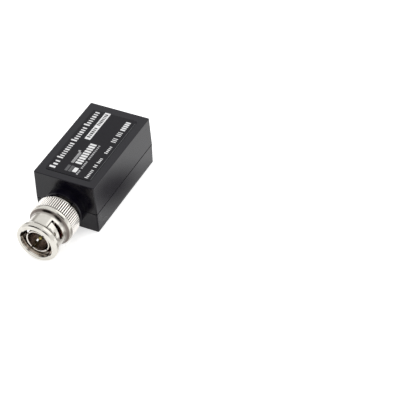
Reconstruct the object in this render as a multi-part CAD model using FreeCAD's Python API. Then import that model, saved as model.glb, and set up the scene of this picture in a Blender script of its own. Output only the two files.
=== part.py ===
import FreeCAD, Part
import math
import os

from FreeCAD import Vector

# Video balun: a small two-part case with a bayonet plug on its front end, a circuit board
# inside and a four-pole push-in terminal in its rear end. Sizes are in millimetres.
# Origin: centre of the case's underside. The plug points along -Y, and +Z is up.

# Cutters run past what they cut by this much, ribs and legs are rooted this deep, and an edge
# counts as being at a height when it lies this near to it
over = 1.0
root = 0.2
near_height = 0.001

# Case
case_width = 21.5
case_length = 37.0
upper_height = 10.3
lower_height = 7.6
side_wall = 1.6
roof_thickness = 1.6
floor_thickness = 1.6
upper_draft = 0.95
lower_draft = 1.25
corner_radius = 0.4
edge_radius = 0.2
edge_run_count = 3
cavity_radius = 0.6
groove_width = 0.35
groove_depth = 0.35
lip_height = 1.0
lip_thickness = 0.6
lip_clearance = 0.05
lip_end_gap = 1.0
rib_thickness = 1.0
rib_overlap = 0.25
rib_foot_height = 2.4
stop_size = 1.0
stop_wall_gap = 0.05
stop_front_back = 2.4
stop_rear_ahead = 1.2
collar_radius = 6.6
collar_length = 2.5
collar_edge = 0.3

# Label on the roof
label_side_margin = 2.7
label_front_margin = 2.6
label_rear_margin = 3.0
label_thickness = 0.12
label_radius = 0.6

# Case screws
screw_inset = 2.35
screw_radius = 1.0
screw_length = 9.0
screw_head_radius = 1.9
screw_head_height = 1.2
screw_head_depth = 0.5
screw_head_bevel = 0.5
screw_clearance = 0.2
thread_clearance = 0.02
cross_width = 0.45
cross_length = 2.0
cross_depth = 0.7
boss_wall = 1.18
pillar_radius = 2.5
boss_end_depth = 0.8

# Turned plug, with distances ahead of the case's front face
barrel_radius = 5.0
barrel_front = 4.05
barrel_bore_radius = 3.2
barrel_rear_wall = 0.9
barrel_rear_bore = 1.6
mount_plate_size = 10.4
mount_plate_thickness = 1.8
mount_leg_size = 0.95
mount_leg_length = 3.4
mount_leg_inset = 0.9
seat_gap = 0.05
press_gap = 0.02
neck_radius = 3.9
flange_radius = 5.4
flange_rear = 6.8
flange_thickness = 0.8
spigot_length = 2.0
insulator_radius = 2.6
tube_front = 17.6
tube_radius = 4.0
tube_wall = 0.5
tube_root_step = 0.2
tube_edge = 0.12
tube_slot_width = 0.5
tube_slot_length = 7.6
tube_slot_count = 4
tube_slot_angle = 52.0
pin_radius = 0.685
pin_root_radius = 0.5
pin_front = 16.4
pin_tip_length = 0.7
pin_tip_radius = 0.15
pin_tip_bulge = 0.12
pin_tip_run_count = 2
pin_tail_radius = 0.45
pin_tail_length = 3.0
pin_bore_gap = 0.03
gasket_thickness = 1.6
gasket_gap = 0.03

# Coupling nut and its springs
nut_rear = 4.1
nut_front = 18.6
nut_lip = 1.3
nut_lip_gap = 0.05
nut_cavity_radius = 5.6
nut_mouth_radius = 4.9
nut_mouth_chamfer = 0.45
nut_mouth_depth = 1.2
nut_cam_front = 15.2
nut_waist_radius = 6.05
nut_rim_radius = 7.0
nut_rim_length = 2.0
nut_rim_round = 0.8
nut_rim_run_count = 3
nut_rim_edge = 0.3
nut_flare_length = 1.3
nut_flare_sag = 0.18
nut_flare_run_count = 3
nut_band_radius = 7.25
nut_band_front = 10.2
nut_band_round = 0.6
nut_band_drop = 0.2
nut_band_run_count = 2
nut_dish_rim = 0.05
nut_dish_length = 1.1
nut_dish_depth = 0.16
nut_dish_run_count = 6
nut_rear_band = 0.4
nut_rear_radius = 7.05
nut_rear_edge = 0.2
knurl_radius = 7.3
knurl_depth = 0.36
knurl_front = 9.1
knurl_teeth = 64
knurl_crest_share = 0.4
knurl_chamfer = 0.3
entry_width = 2.6
entry_angle = -25.0
window_angle = 30.3
window_length = 6.4
window_rear = 12.3
window_start_width = 0.85
window_end_width = 2.1
slit_angle = 62.0
slit_width = 0.3
slit_front = 15.9
peep_angle = 32.0
peep_radius = 0.6
peep_ahead = 15.6
ramp_angle = 16.0
ramp_length = 5.0
ramp_start_rise = 0.9
ramp_end_rise = 0.3
detent_radius = 1.1
detent_rise = 0.6
thrust_washer_thickness = 0.4
wave_thickness = 0.25
wave_count = 3
wave_run_count = 12
washer_rim_gap = 0.2
wave_rim_gap = 0.3

# Circuit board
board_thickness = 1.6
board_drop = 0.5
board_gap = 0.25
board_front_gap = 0.25
board_notch_gap = 0.3
board_rest = 1.25
board_rest_gap = 1.5
choke_front_gap = 0.3
choke_side_gap = 0.4
choke_height = 3.0
choke_radius = 3.0
choke_hole_radius = 1.7
choke_winding = 0.45
choke_winding_span = 140.0
choke_gap = 0.05
can_radius = 2.0
can_height = 5.4
can_base = 4.3
can_base_height = 0.8
can_base_corner = 0.9
can_edge = 0.3
can_side_gap = 0.9
can_front_gap = 0.5
can_rear_gap = 0.3
amplifier_length = 4.9
amplifier_width = 3.9
amplifier_lead_count = 4
amplifier_ahead = 0.9
regulator_length = 3.5
regulator_width = 1.8
regulator_lead_count = 3
regulator_side_gap = 0.95
regulator_rear_gap = 0.4
chip_height = 1.5
chip_standoff = 0.15
lead_thickness = 0.2
lead_width = 0.42
lead_pitch = 1.27
lead_reach = 1.05
lead_foot = 0.55
lead_root = 0.3
inductor_size = 4.0
inductor_height = 2.0
inductor_flange = 0.45
inductor_drum_radius = 1.45
inductor_rear_gap = 0.4
diode_length = 4.3
diode_width = 2.6
diode_height = 2.0
diode_tab_width = 1.4
diode_tab_reach = 0.4
diode_tab_thickness = 0.3
diode_standoff = 0.1
diode_back = 8.0
diode_side = 2.4
resistor_size = (1.6, 0.8, 0.45)
resistor_back = 3.7
resistor_pitch = 1.15
resistor_count = 5
capacitor_size = (2.0, 1.25, 0.9)
capacitor_leg_gap = 0.325
capacitor_front_back = 2.4
capacitor_row_gap = 0.3
capacitor_pillar_gap = 1.4

# Push-in terminal
pole_count = 4
pole_pitch = 3.5
block_depth = 9.3
block_height = 8.1
block_cheek = 0.7
block_recess = 0.2
block_gap = 0.1
block_floor = 0.8
port_size = 2.1
port_height = 2.2
port_funnel = 0.4
port_funnel_depth = 0.8
chamber_width = 2.5
chamber_depth = 4.4
slot_floor = 4.7
slot_height = 3.0
button_gap = 0.05
button_nose = 1.4
button_lug_drop = 0.6
button_lug_depth = 0.45
button_lug_root = 0.5
button_groove_width = 0.7
button_groove_depth = 0.5
clamp_thickness = 0.3
clamp_width = 2.2
clamp_bend_radius = 0.75
clamp_bend_height = 6.3
clamp_front_gap = 0.3
clamp_lean = 20.0
clamp_bend_middle = 100.0
clamp_tip_height = 1.5
contact_thickness = 0.4
contact_pin_width = 0.9
contact_pin_ahead = 1.6
contact_pin_drop = 1.0
contact_pin_gap = 0.05

# Places worked out from the sizes above
half_width = case_width / 2
half_length = case_length / 2
inner_half_width = half_width - side_wall
inner_half_length = half_length - side_wall
split_z = lower_height
roof_z = split_z + upper_height
ceiling_z = roof_z - roof_thickness
axis_z = split_z
front_y = -half_length
rear_y = half_length
board_top = axis_z - board_drop
board_bottom = board_top - board_thickness
plate_front_y = front_y + side_wall + seat_gap
plate_rear_y = plate_front_y + mount_plate_thickness
board_front_y = plate_rear_y + board_front_gap
board_rear_y = inner_half_length - board_gap
board_half_width = inner_half_width - board_gap
leg_end_y = plate_rear_y + mount_leg_length
leg_x = mount_plate_size / 2 - mount_leg_inset
flange_front = flange_rear + flange_thickness
block_width = pole_count * pole_pitch + 2 * block_cheek
block_rear_y = rear_y - block_recess
block_front_y = block_rear_y - block_depth
chamber_rear_y = block_front_y + chamber_depth
pole_x = [pole_pitch * (i - (pole_count - 1) / 2) for i in range(pole_count)]
contact_pin_y = block_front_y + contact_pin_ahead
screw_x = inner_half_width - screw_inset
screw_seat_z = screw_head_depth + screw_head_height
boss_radius = screw_radius + boss_wall
choke_reach = choke_radius + choke_gap + choke_winding
choke_x = -board_half_width + choke_side_gap + choke_reach
choke_centre = (choke_x, leg_end_y + choke_front_gap + choke_reach)
can_x = board_half_width - can_side_gap - can_base / 2
can_centres = [(can_x, leg_end_y + can_front_gap + can_base / 2)]
can_centres.append((-can_x, block_front_y - can_rear_gap - can_base / 2))
amplifier_centre = (0.0, -amplifier_ahead)
regulator_x = board_half_width - regulator_side_gap - regulator_length / 2
regulator_reach = regulator_width / 2 + lead_reach
regulator_centre = (regulator_x, block_front_y - regulator_rear_gap - regulator_reach)
inductor_x = (regulator_x - regulator_length / 2 - can_x + can_base / 2) / 2
inductor_centre = (inductor_x, block_front_y - inductor_rear_gap - inductor_size / 2)
diode_centres = [(side * diode_side, board_front_y + diode_back) for side in (-1, 1)]
resistor_x = (choke_x + choke_reach + can_x - can_base / 2) / 2
resistor_y = [board_front_y + resistor_back + resistor_pitch * i for i in range(resistor_count)]
resistor_centres = [(resistor_x, y) for y in resistor_y]
capacitor_front_y = board_front_y + capacitor_front_back
capacitor_front_x = leg_x - (mount_leg_size + capacitor_size[0]) / 2 - capacitor_leg_gap
capacitor_centres = [(side * capacitor_front_x, capacitor_front_y) for side in (-1, 1)]
capacitor_row_x = (capacitor_size[0] + capacitor_row_gap) / 2
capacitor_row_y = -pillar_radius - capacitor_pillar_gap
capacitor_centres += [(can_x + side * capacitor_row_x, capacitor_row_y) for side in (-1, 1)]


def box(x, y, z):
    """Box between the pairs of limits x, y and z."""
    size = [high - low for low, high in (x, y, z)]
    return Part.makeBox(*size, Vector(x[0], y[0], z[0]))


def centred_box(centre_x, centre_y, size_x, size_y, z):
    """Box centred on a point of the plan, between the two heights in z."""
    x = (centre_x - size_x / 2, centre_x + size_x / 2)
    y = (centre_y - size_y / 2, centre_y + size_y / 2)
    return box(x, y, z)


def upright(x, y, radius, z):
    """Vertical cylinder between the two heights in z."""
    return Part.makeCylinder(radius, z[1] - z[0], Vector(x, y, z[0]))


def lofted(wires):
    """Solid with straight runs between closed wires."""
    return outward(Part.makeLoft(wires, True, True))


def prism(half_x, half_y, z, radius):
    """Upright block with rounded corners between the two heights in z."""
    return lofted([rounded_outline(half_x, half_y, radius, level) for level in z])


def shell_block(joint_z, end_z, inset):
    """Block of the case's outline at joint_z, narrower by inset at end_z, where its edges are rounded."""
    rise = end_z - joint_z
    reach = edge_radius * rise / abs(rise)
    levels = [(joint_z, 0.0)]
    for i in range(edge_run_count + 1):
        turn = math.pi / 2 * i / edge_run_count
        levels.append((end_z - reach * (1 - math.sin(turn)), inset + edge_radius * (1 - math.cos(turn))))
    sides = [(half_width - cut, half_length - cut, z) for z, cut in levels]
    return lofted([rounded_outline(x, y, corner_radius, z) for x, y, z in sides])


def rounded_outline(half_x, half_y, radius, z):
    """Closed outline of a rectangle with rounded corners at height z."""
    edges = []
    diagonal = radius * (1 - math.sqrt(0.5))
    for sx, sy in ((1, 1), (-1, 1), (-1, -1), (1, -1)):
        side = Vector(sx * half_x, sy * (half_y - radius), z)
        end = Vector(sx * (half_x - radius), sy * half_y, z)
        middle = Vector(sx * (half_x - diagonal), sy * (half_y - diagonal), z)
        first, last = (side, end) if sx * sy > 0 else (end, side)
        if edges:
            edges.append(Part.makeLine(edges[-1].Vertexes[-1].Point, first))
        edges.append(Part.Arc(first, middle, last).toShape())
    edges.append(Part.makeLine(edges[-1].Vertexes[-1].Point, edges[0].Vertexes[0].Point))
    return Part.Wire(edges)


def outward(shape):
    """The same solid with its faces pointing outwards."""
    if shape.Volume < 0:
        shape.reverse()
    return shape


def outline(start, steps, place):
    """Closed wire from start through steps: a pair of numbers is a straight run, a pair of pairs an arc."""
    edges = []
    here = start
    for step in list(steps) + [start]:
        if isinstance(step[0], tuple):
            through, end = step
            edges.append(Part.Arc(place(here), place(through), place(end)).toShape())
            here = end
        elif step != here:
            edges.append(Part.makeLine(place(here), place(step)))
            here = step
    return Part.Wire(edges)


def runs(start, end, rise, count):
    """Points of a curve from start to end in straight runs, which stands rise off the middle on its left."""
    along, across = end[0] - start[0], end[1] - start[1]
    points = []
    for i in range(1, count + 1):
        share = i / count
        off = rise * (1 - (2 * share - 1) ** 2) / math.hypot(along, across)
        points.append((start[0] + along * share - across * off, start[1] + across * share + along * off))
    return points


def turned(start, *steps):
    """Solid turned about the plug's axis from an outline of (distance ahead of the case, radius)."""
    wire = outline(start, steps, lambda p: Vector(p[1], front_y - p[0], axis_z))
    solid = Part.Face(wire).revolve(Vector(0, front_y, axis_z), Vector(0, -1, 0), 360)
    return outward(solid)


def ring(ahead, radii):
    """Turned ring between two distances and two radii."""
    rear, front = ahead
    inner, outer = radii
    return turned((rear, inner), (rear, outer), (front, outer), (front, inner))


def rod(ahead, radius):
    """Turned rod on the plug's axis between two distances ahead of the case."""
    return turned((ahead[0], 0.0), (ahead[0], radius), (ahead[1], radius), (ahead[1], 0.0))


def about_axis(shape, angle):
    """The shape turned about the plug's axis, from +X towards +Z."""
    return shape.copy().rotate(Vector(0, front_y, axis_z), Vector(0, -1, 0), angle)


def radial_cut(points, depth, angle):
    """Cutter driven straight in at an angle round the plug, from an outline of (along the turn, ahead)."""
    wire = outline(points[0], points[1:], lambda p: Vector(depth[0], front_y - p[1], axis_z + p[0]))
    cutter = Part.Face(wire).extrude(Vector(depth[1] - depth[0], 0, 0))
    return about_axis(outward(cutter), angle)


def side_profile(points, centre_x, width):
    """Plate of an outline of (y, z) that lies across a width centred on centre_x."""
    wire = outline(points[0], points[1:], lambda p: Vector(centre_x - width / 2, p[0], p[1]))
    return outward(Part.Face(wire).extrude(Vector(width, 0, 0)))


def joined(first, *others):
    """One solid fused from several."""
    return first.fuse(list(others)).removeSplitter()


def bevelled(cylinder, z, size):
    """Upright cylinder with a bevel on its rim at height z."""
    rim = [e for e in cylinder.Edges if e.Closed and abs(e.BoundBox.ZMax - z) < near_height]
    return cylinder.makeChamfer(size, rim)


# Case


def collar(upper):
    """Half of the round boss that stands on the front wall round the plug."""
    boss = rod((-side_wall / 2, collar_length), collar_radius)
    trim = turned(
        (collar_length, collar_radius - collar_edge),
        (collar_length - collar_edge, collar_radius),
        (collar_length - collar_edge, collar_radius + over),
        (collar_length + over, collar_radius + over),
        (collar_length + over, collar_radius - collar_edge),
    )
    z = (split_z, roof_z) if upper else (0.0, split_z)
    reach = (front_y - collar_length - over, front_y + side_wall)
    return boss.cut(trim).common(box((-half_width, half_width), reach, z))


def plug_opening():
    """Bore through the collar and the front wall."""
    return rod((-side_wall - over, collar_length + over), barrel_radius + seat_gap)


def terminal_opening():
    """Opening in the rear wall for the terminal block."""
    reach = block_width / 2 + block_gap
    top = board_top + block_height + block_gap
    return box((-reach, reach), (inner_half_length - over, rear_y + over), (board_top - block_gap, top))


def plate_rib(side, z):
    """Rib behind the plug's mounting plate, at one side of the case."""
    near = mount_plate_size / 2 - rib_overlap
    y = (plate_rear_y + seat_gap, plate_rear_y + seat_gap + rib_thickness)
    x = sorted((side * near, side * (inner_half_width + root)))
    return box(x, y, z)


def upper_housing():
    inset = upper_height * math.tan(math.radians(upper_draft))
    shell = shell_block(split_z, roof_z, inset).fuse(collar(True))
    shell = shell.cut(prism(inner_half_width, inner_half_length, (split_z, ceiling_z), cavity_radius))
    reach = lip_thickness + lip_clearance
    rebate = (split_z, split_z + lip_height + lip_clearance)
    shell = shell.cut(prism(inner_half_width + reach, inner_half_length + reach, rebate, cavity_radius))
    shell = shell.cut(plug_opening()).cut(terminal_opening())
    for side in (-1, 1):
        boss = upright(side * screw_x, 0, boss_radius, (split_z, ceiling_z + root))
        shell = shell.fuse([boss, plate_rib(side, (board_top + rib_foot_height, ceiling_z + root))])
        for y in (board_front_y + stop_front_back, block_front_y - stop_rear_ahead):
            x = side * (inner_half_width - stop_wall_gap - stop_size / 2)
            stop = centred_box(x, y, stop_size, stop_size, (board_top + seat_gap, ceiling_z + root))
            shell = shell.fuse(stop)
        pilot = (split_z, screw_seat_z + screw_length + boss_end_depth)
        shell = shell.cut(upright(side * screw_x, 0, screw_radius + thread_clearance, pilot))
    return shell.removeSplitter()


def lower_housing():
    inset = lower_height * math.tan(math.radians(lower_draft))
    shell = shell_block(split_z, 0.0, inset)
    groove_z = (split_z - groove_width, split_z)
    groove = prism(half_width + over, half_length + over, groove_z, corner_radius)
    core = prism(half_width - groove_depth, half_length - groove_depth, groove_z, corner_radius)
    shell = shell.cut(groove.cut(core))
    shell = shell.fuse(collar(False))
    lip_z = (split_z - lip_height / 2, split_z + lip_height)
    lip = prism(inner_half_width + lip_thickness, inner_half_length + lip_thickness, lip_z, cavity_radius)
    front_gap = barrel_radius + lip_end_gap
    lip = lip.cut(box((-front_gap, front_gap), (front_y, 0), lip_z))
    rear_gap = block_width / 2 + block_gap
    lip = lip.cut(box((-rear_gap, rear_gap), (0, rear_y), lip_z))
    shell = shell.fuse(lip)
    cavity_z = (floor_thickness, split_z + lip_height)
    shell = shell.cut(prism(inner_half_width, inner_half_length, cavity_z, cavity_radius))
    shell = shell.cut(plug_opening()).cut(terminal_opening())
    foot_z = floor_thickness - root
    for side in (-1, 1):
        pillar = upright(side * screw_x, 0, pillar_radius, (foot_z, split_z))
        room = prism(inner_half_width + root, inner_half_length, (foot_z, split_z), cavity_radius)
        rest = []
        clear = pillar_radius + board_rest_gap
        for y in ((board_front_y, -clear), (clear, board_rear_y)):
            x = sorted((side * (inner_half_width - board_rest), side * (inner_half_width + root)))
            rest.append(box(x, y, (foot_z, board_bottom - seat_gap)))
        rib = plate_rib(side, (foot_z, board_bottom - seat_gap))
        shell = shell.fuse([pillar.common(room), rib] + rest)
    for side in (-1, 1):
        x = side * screw_x
        shell = shell.cut(upright(x, 0, screw_head_radius + screw_clearance, (0, screw_seat_z)))
        shell = shell.cut(upright(x, 0, screw_radius + screw_clearance, (0, split_z)))
    return shell.removeSplitter()


def housing_screws():
    screws = []
    for side in (-1, 1):
        x = side * screw_x
        head = upright(x, 0, screw_head_radius, (screw_head_depth, screw_seat_z))
        shank = upright(x, 0, screw_radius, (screw_seat_z, screw_seat_z + screw_length))
        head = bevelled(head, screw_head_depth, screw_head_bevel)
        cross_z = (screw_head_depth, screw_head_depth + cross_depth)
        cross = centred_box(x, 0, cross_length, cross_width, cross_z)
        cross = cross.fuse(centred_box(x, 0, cross_width, cross_length, cross_z))
        screws.append(joined(head, shank).cut(cross))
    return Part.Compound(screws)


def label():
    inset = upper_height * math.tan(math.radians(upper_draft))
    half_x = half_width - inset - label_side_margin
    low_y = front_y + inset + label_front_margin
    high_y = rear_y - inset - label_rear_margin
    plate = prism(half_x, (high_y - low_y) / 2, (roof_z, roof_z + label_thickness), label_radius)
    return plate.translated(Vector(0, (high_y + low_y) / 2, 0))


# Plug


def mounting_barrel():
    """Rear half of the plug's body: barrel, square plate and four legs that straddle the board."""
    rear = front_y - plate_rear_y
    sleeve = rod((rear, barrel_front), barrel_radius)
    half = mount_plate_size / 2
    plate = box((-half, half), (plate_front_y, plate_rear_y), (axis_z - half, axis_z + half))
    legs = []
    leg_y = (plate_rear_y - root, plate_rear_y + mount_leg_length)
    for x in (-leg_x, leg_x):
        above = board_top + press_gap
        below = board_bottom - press_gap
        for z in ((above, above + mount_leg_size), (below - mount_leg_size, below)):
            legs.append(box((x - mount_leg_size / 2, x + mount_leg_size / 2), leg_y, z))
    body = joined(sleeve, plate, *legs)
    bore = rod((rear + barrel_rear_wall, barrel_front + over), barrel_bore_radius + press_gap)
    return body.cut(bore).cut(rod((rear - over, barrel_front), barrel_rear_bore))


def plug_core():
    """Front half of the plug's body: tail, neck, flange and the spigot that carries the contact tube."""
    rear = front_y - plate_rear_y + barrel_rear_wall
    spigot = tube_radius - tube_wall - press_gap
    return turned(
        (rear, insulator_radius + press_gap),
        (rear, barrel_bore_radius),
        (barrel_front, barrel_bore_radius),
        (barrel_front, neck_radius),
        (flange_rear, neck_radius),
        (flange_rear, flange_radius),
        (flange_front, flange_radius),
        (flange_front, spigot),
        (flange_front + spigot_length, spigot),
        (flange_front + spigot_length, insulator_radius + press_gap),
    )


def contact_tube():
    inner = tube_radius - tube_wall
    step_front = flange_front + gasket_thickness + gasket_gap
    tube = turned(
        (flange_front, inner),
        (flange_front, tube_radius - tube_root_step),
        (step_front, tube_radius - tube_root_step),
        (step_front, tube_radius),
        (tube_front - tube_edge, tube_radius),
        (tube_front, tube_radius - tube_edge),
        (tube_front, inner + tube_edge),
        (tube_front - tube_edge, inner),
    )
    half = tube_slot_width / 2
    rear = tube_front - tube_slot_length
    slot = [(-half, rear), (half, rear), (half, tube_front + over), (-half, tube_front + over)]
    for i in range(tube_slot_count):
        angle = tube_slot_angle + 360 * i / tube_slot_count
        tube = tube.cut(radial_cut(slot, (inner / 2, tube_radius + over), angle))
    return tube


def insulator():
    rear = front_y - plate_rear_y + barrel_rear_wall
    return ring((rear, flange_front + spigot_length), (pin_root_radius + pin_bore_gap, insulator_radius))


def centre_pin():
    rear = front_y - plate_rear_y + barrel_rear_wall
    step_front = flange_front + spigot_length + seat_gap
    shoulder = (pin_front - pin_tip_length, pin_radius)
    tip = (pin_front, pin_tip_radius)
    return turned(
        (rear - barrel_rear_wall - pin_tail_length, 0.0),
        (rear - barrel_rear_wall - pin_tail_length, pin_tail_radius),
        (rear, pin_tail_radius),
        (rear, pin_root_radius),
        (step_front, pin_root_radius),
        (step_front, pin_radius),
        shoulder,
        *runs(shoulder, tip, pin_tip_bulge, pin_tip_run_count),
        (pin_front, 0.0),
    )


def gasket():
    inner = tube_radius - tube_root_step + gasket_gap
    return ring((flange_front, flange_front + gasket_thickness), (inner, flange_radius))


def thrust_washer():
    rear = nut_rear + nut_lip
    radii = (neck_radius + nut_lip_gap, nut_cavity_radius - washer_rim_gap)
    return ring((rear, rear + thrust_washer_thickness), radii)


def wave_ring(ahead, radius, swing):
    """Closed wavy line about the plug's axis, in straight runs."""
    count = wave_count * wave_run_count
    points = []
    for i in range(count):
        turn = 2 * math.pi * i / count
        lift = ahead + swing * math.cos(wave_count * turn)
        points.append(Vector(radius * math.cos(turn), front_y - lift, axis_z + radius * math.sin(turn)))
    return points


def wave_washer():
    """Sprung washer between the thrust washer and the flange, with its crests on both."""
    rear = nut_rear + nut_lip + thrust_washer_thickness
    swing = (flange_rear - rear - wave_thickness) / 2
    radii = (neck_radius + nut_lip_gap, nut_cavity_radius - wave_rim_gap)
    middles = (rear + swing, flange_rear - swing)
    rear_in, rear_out = [wave_ring(middles[0], r, swing) for r in radii]
    front_in, front_out = [wave_ring(middles[1], r, swing) for r in radii]
    pairs = ((rear_in, rear_out), (front_in, front_out), (rear_in, front_in), (rear_out, front_out))
    faces = []
    for first, second in pairs:
        for i in range(len(first)):
            a, b, c, d = first[i - 1], first[i], second[i], second[i - 1]
            faces.append(Part.Face(Part.makePolygon([a, b, c, a])))
            faces.append(Part.Face(Part.makePolygon([a, c, d, a])))
    shell = Part.makeShell(faces)
    shell.sewShape()
    return outward(Part.Solid(Part.Shell(shell.Faces)))


def knurled_band():
    """Straight knurl: flat-crested teeth round the band, with bevelled ends."""
    pitch = 2 * math.pi / knurl_teeth
    crest = pitch * knurl_crest_share / 2
    tooth = ((-crest, knurl_radius), (crest, knurl_radius), (pitch / 2, knurl_radius - knurl_depth))
    rear = nut_rear + nut_rear_band
    end_scale = 1 - knurl_chamfer / knurl_radius
    levels = [(rear, end_scale), (rear + knurl_chamfer, 1.0)]
    levels += [(knurl_front - knurl_chamfer, 1.0), (knurl_front, end_scale)]
    wires = []
    for ahead, scale in levels:
        corners = []
        for i in range(knurl_teeth):
            for turn, radius in tooth:
                x = scale * radius * math.cos(i * pitch + turn)
                z = axis_z + scale * radius * math.sin(i * pitch + turn)
                corners.append(Vector(x, front_y - ahead, z))
        wires.append(Part.makePolygon(corners + corners[:1]))
    return lofted(wires)


def nut_blank():
    """Outside of the nut, with room for the knurl: band, dish, waist, flare and rim."""
    core = knurl_radius - 2 * knurl_depth
    quarter = 1 - math.sqrt(0.5)
    band_edge = (nut_band_front - nut_band_round, nut_band_radius)
    band_end = (nut_band_front, nut_band_radius - nut_band_drop)
    dish_top = (nut_band_front, band_end[1] - nut_dish_rim)
    dish_foot = (nut_band_front + nut_dish_length, nut_waist_radius)
    rim_rear = nut_front - nut_rim_length
    flare_foot = (rim_rear - nut_flare_length, nut_waist_radius)
    flare_top = (rim_rear, nut_rim_radius - nut_rim_edge / 2)
    rim_start = (rim_rear + nut_rim_edge, nut_rim_radius)
    rim_end = (nut_front - nut_rim_round, nut_rim_radius)
    face_top = (nut_front, nut_rim_radius - nut_rim_round)
    return turned(
        (nut_rear, 0.0),
        (nut_rear, nut_rear_radius - nut_rear_edge),
        (nut_rear + nut_rear_edge, nut_rear_radius),
        (nut_rear + nut_rear_band, nut_rear_radius),
        (nut_rear + nut_rear_band, core),
        (knurl_front, core),
        (knurl_front, nut_band_radius),
        band_edge,
        *runs(band_edge, band_end, quarter * nut_band_drop, nut_band_run_count),
        dish_top,
        *runs(dish_top, dish_foot, -nut_dish_depth, nut_dish_run_count),
        flare_foot,
        *runs(flare_foot, flare_top, -nut_flare_sag, nut_flare_run_count),
        rim_start,
        rim_end,
        *runs(rim_end, face_top, quarter * nut_rim_round, nut_rim_run_count),
        (nut_front, 0.0),
    )


def nut_bore():
    """Inside of the nut: lip on the neck, spring room, cam face and the mouth."""
    mouth = nut_mouth_radius + nut_mouth_chamfer
    return turned(
        (nut_rear - over, 0.0),
        (nut_rear - over, neck_radius + nut_lip_gap),
        (nut_rear + nut_lip, neck_radius + nut_lip_gap),
        (nut_rear + nut_lip, nut_cavity_radius),
        (nut_cam_front, nut_cavity_radius),
        (nut_cam_front, nut_mouth_radius),
        (nut_front - nut_mouth_depth, nut_mouth_radius),
        (nut_front, mouth),
        (nut_front + over, mouth),
        (nut_front + over, 0.0),
    )


def bayonet_cuts(turn):
    """Cuts for one stud: entry channel, cam ramp, detent, sloping window, slit and peep hole."""
    inside = rod((nut_rear, nut_front + over), nut_cavity_radius)
    near = nut_mouth_radius - over
    far = knurl_radius + over
    cam = nut_cam_front - root
    half = entry_width / 2
    entry = [(-half, cam), (half, cam), (half, nut_front + over), (-half, nut_front + over)]
    half = ramp_length / 2
    ramp = [
        (-half, cam),
        (half, cam),
        (half, nut_cam_front + ramp_end_rise),
        (-half, nut_cam_front + ramp_start_rise),
    ]
    centre = nut_cam_front + detent_rise - detent_radius
    detent = [
        (-detent_radius, centre),
        ((0.0, centre + detent_radius), (detent_radius, centre)),
    ]
    half = window_length / 2
    end = window_end_width / 2
    window = [
        (half, window_rear),
        (half, window_rear + window_start_width),
        (end - half, window_rear + window_end_width),
        ((-half, window_rear + end), (end - half, window_rear)),
    ]
    half = slit_width / 2
    slit = [(-half, window_rear), (half, window_rear), (half, slit_front), (-half, slit_front)]
    peep = [
        (-peep_radius, peep_ahead),
        ((0.0, peep_ahead + peep_radius), (peep_radius, peep_ahead)),
        ((0.0, peep_ahead - peep_radius), (-peep_radius, peep_ahead)),
    ]
    cuts = [
        radial_cut(entry, (near, far), entry_angle + turn).common(inside),
        radial_cut(ramp, (near, far), ramp_angle + turn).common(inside),
        radial_cut(detent, (near, far), slit_angle + turn).common(inside),
        radial_cut(window, (near, far), window_angle + turn),
        radial_cut(slit, (near, far), slit_angle + turn),
        radial_cut(peep, (near, far), peep_angle + turn),
    ]
    return cuts


def coupling_nut():
    nut = joined(nut_blank(), knurled_band())
    nut = nut.cut(nut_bore())
    for turn in (0, 180):
        nut = nut.cut(bayonet_cuts(turn))
    return nut.Solids[0]


# Circuit board and what is soldered to it


def circuit_board():
    half = board_half_width
    board = box((-half, half), (board_front_y, board_rear_y), (board_bottom, board_top))
    notch = pillar_radius + board_notch_gap
    for side in (-1, 1):
        x = sorted((side * (screw_x - notch), side * (half + over)))
        board = board.cut(box(x, (-notch, notch), (board_bottom, board_top)))
    width = contact_pin_width + 2 * contact_pin_gap
    depth = contact_thickness + 2 * contact_pin_gap
    for x in pole_x:
        board = board.cut(centred_box(x, contact_pin_y, width, depth, (board_bottom, board_top)))
    return board


def choke_core():
    x, y = choke_centre
    base = board_top + choke_winding + choke_gap
    z = (base, base + choke_height)
    return upright(x, y, choke_radius, z).cut(upright(x, y, choke_hole_radius, z))


def choke_windings():
    """Two windings, each a sleeve round its share of the ring core."""
    x, y = choke_centre
    low = board_top
    high = board_top + choke_height + 2 * (choke_winding + choke_gap)
    outer = upright(x, y, choke_reach, (low, high))
    outer = outer.cut(upright(x, y, choke_hole_radius - choke_gap - choke_winding, (low, high)))
    room_z = (low + choke_winding, high - choke_winding)
    room = upright(x, y, choke_radius + choke_gap, room_z)
    room = room.cut(upright(x, y, choke_hole_radius - choke_gap, room_z))
    sleeve = outer.cut(room)
    reach = 2 * choke_radius
    windings = []
    for turn in (0, 180):
        start = turn - choke_winding_span / 2
        angles = [math.radians(start + choke_winding_span * share) for share in (0, 0.5, 1)]
        points = [Vector(x, y, low)]
        points += [Vector(x + reach * math.cos(a), y + reach * math.sin(a), low) for a in angles]
        wedge = Part.Face(Part.makePolygon(points + points[:1])).extrude(Vector(0, 0, high - low))
        windings.append(sleeve.common(wedge))
    return windings


def filter_capacitor(centre):
    x, y = centre
    foot = board_top + can_base_height
    half = can_base / 2
    cut = half - can_base_corner
    corners = [(-half, -half), (cut, -half), (half, -cut), (half, cut), (cut, half), (-half, half)]
    points = [Vector(x + a, y + b, board_top) for a, b in corners]
    base = Part.Face(Part.makePolygon(points + points[:1])).extrude(Vector(0, 0, can_base_height))
    top = board_top + can_height
    can = bevelled(upright(x, y, can_radius, (foot - root, top)), top, can_edge)
    return joined(can, base)


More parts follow.
